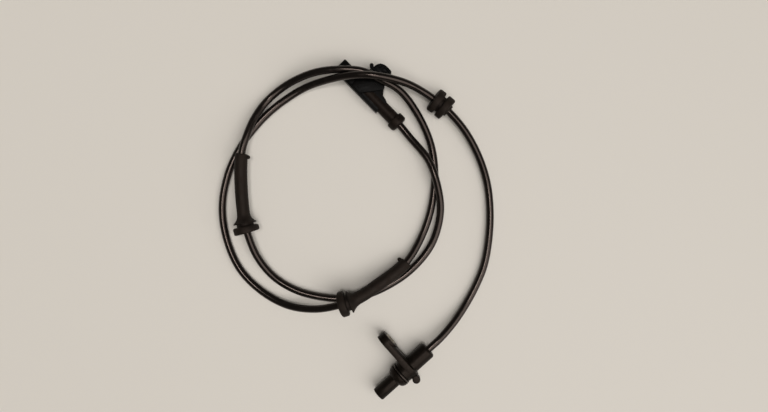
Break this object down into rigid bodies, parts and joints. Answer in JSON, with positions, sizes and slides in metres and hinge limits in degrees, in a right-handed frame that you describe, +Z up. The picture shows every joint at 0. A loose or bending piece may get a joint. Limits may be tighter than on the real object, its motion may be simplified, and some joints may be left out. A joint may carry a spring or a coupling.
{
  "type": "wheel speed sensor",
  "caption": "Sensor head with a bolt ear on a black cable laid in a loose loop, with a round grommet, long rubber sleeves and a latching plug.",
  "frame": {"origin": "under the middle of the sensor head, on the surface that it lies on", "axes": "+X along the sensor's axis out of its tip, -Y towards the ear's eye, +Z up"},
  "size_m": [0.1967, 0.2229, 0.0238],
  "materials": {
    "head_plastic": "black glass-filled moulding, satin",
    "ring_rubber": "black rubber, satin",
    "bushing_steel": "zinc-plated steel, satin",
    "carrier_plastic": "dark grey moulding",
    "chip_epoxy": "black moulded epoxy",
    "magnet_alloy": "sintered magnet, plated",
    "contact_metal": "tin-plated copper alloy",
    "core_brown": "extruded insulation",
    "core_white": "extruded insulation",
    "cable_jacket": "black extruded jacket, glossy",
    "sleeve_rubber": "brownish black moulded rubber, matt",
    "plug_plastic": "black moulding, satin",
    "boot_plastic": "black moulding, satin",
    "lock_plastic": "green moulding",
    "seal_silicone": "orange-brown silicone"
  },
  "bodies": {
    "root": {"sensor_cap": "head_plastic", "head_body": "head_plastic", "o_ring": "ring_rubber", "ear_bushing": "bushing_steel", "ic_carrier": "carrier_plastic", "sensing_ic": "chip_epoxy", "bias_magnet": "magnet_alloy", "head_terminal_1": "contact_metal", "head_terminal_2": "contact_metal", "head_core_1": "core_brown", "head_core_2": "core_white", "cable": "cable_jacket", "grommet": "sleeve_rubber", "sleeve_left": "sleeve_rubber", "sleeve_lower": "sleeve_rubber", "connector_housing": "plug_plastic", "connector_backshell": "boot_plastic", "terminal_retainer": "lock_plastic", "front_seal": "seal_silicone", "wire_seal": "seal_silicone", "contact_1": "contact_metal", "contact_2": "contact_metal", "plug_core_1": "core_brown", "plug_core_2": "core_white"}
  },
  "joints": []
}
